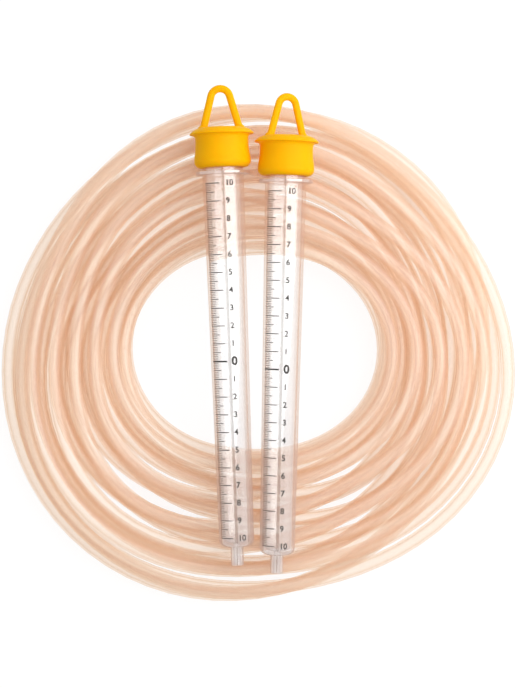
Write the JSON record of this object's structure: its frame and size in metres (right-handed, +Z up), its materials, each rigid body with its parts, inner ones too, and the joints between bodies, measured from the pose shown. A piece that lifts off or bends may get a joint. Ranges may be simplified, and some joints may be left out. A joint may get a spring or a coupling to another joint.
{
  "type": "water level hose",
  "caption": "Hydrostatic level: coil of clear hose with clear graduated flasks lying on it, each with a hose spigot and a soft yellow cap with a hanging loop, for levelling far points.",
  "frame": {"origin": "middle of the object's box on the ground plane", "axes": "+Z up from the ground the coil lies on, +Y along the flasks towards their caps, +X to the right of the picture"},
  "size_m": [0.2982, 0.2965, 0.0692],
  "materials": {
    "hose": "clear soft PVC hose with a faint peach tint, smooth",
    "barrel": "clear moulded polystyrene with a printed black centimetre scale",
    "cap": "soft yellow polyethylene, satin, as moulded"
  },
  "bodies": {
    "hose": {"hose_coil": "hose"},
    "left_flask": {"left_barrel": "barrel"},
    "left_stopper": {"left_cap": "cap"},
    "right_flask": {"right_barrel": "barrel"},
    "right_stopper": {"right_cap": "cap"}
  },
  "joints": [
    {"name": "left_flask_lift", "type": "slide", "parent": "hose", "child": "left_flask", "axis": [0, 0, 1], "range_m": [0, 0.1]},
    {"name": "left_cap_pull", "type": "slide", "parent": "left_flask", "child": "left_stopper", "axis": [-0.0366, 0.9987, 0.0356], "range_m": [0, 0.035]},
    {"name": "right_flask_lift", "type": "slide", "parent": "hose", "child": "right_flask", "axis": [0, 0, 1], "range_m": [0, 0.1]},
    {"name": "right_cap_pull", "type": "slide", "parent": "right_flask", "child": "right_stopper", "axis": [0.0227, 0.9991, 0.0356], "range_m": [0, 0.035]}
  ]
}
